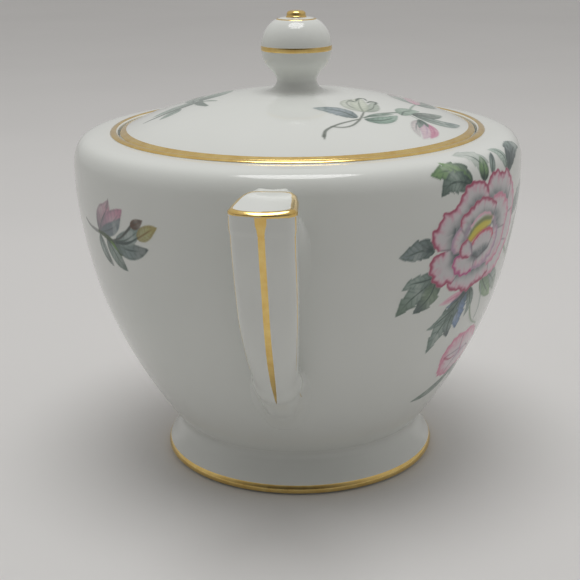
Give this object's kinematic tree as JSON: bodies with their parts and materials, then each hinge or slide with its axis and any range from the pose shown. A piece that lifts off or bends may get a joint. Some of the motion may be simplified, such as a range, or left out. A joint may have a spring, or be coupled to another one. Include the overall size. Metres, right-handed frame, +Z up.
{
  "type": "sugar bowl",
  "caption": "Covered porcelain sugar bowl on a pedestal foot, with two strap handles, a lift-off domed lid with a ball knob, gilt lines and floral sprays.",
  "frame": {"origin": "centre of the foot's resting plane, on the bowl's axis", "axes": "+Z up along the bowl's axis; +X through the right handle, the left handle is on -X; -Y is the front with the main flower spray"},
  "size_m": [0.1446, 0.1072, 0.1088],
  "materials": {
    "porcelain": "glossy glaze",
    "gilding": "polished gilt",
    "floral_decoration": "fired overglaze colours, glossy"
  },
  "bodies": {
    "bowl_body": {"bowl": "porcelain", "pedestal_foot": "porcelain", "handle_left": "porcelain", "handle_right": "porcelain", "foot_gold_band": "gilding", "rim_gold_band": "gilding", "handle_left_gold_spine": "gilding", "handle_left_gold_plate_edge": "gilding", "handle_right_gold_spine": "gilding", "handle_right_gold_plate_edge": "gilding"},
    "lid_body": {"lid": "porcelain", "lid_knob": "porcelain", "lid_gold_band": "gilding", "knob_gold_band": "gilding", "knob_crown_gold_line": "gilding", "knob_gold_button": "gilding"}
  },
  "joints": [
    {"name": "lid_lift", "type": "slide", "parent": "bowl_body", "child": "lid_body", "axis": [0, 0, 1], "range_m": [0, 0.09]}
  ]
}
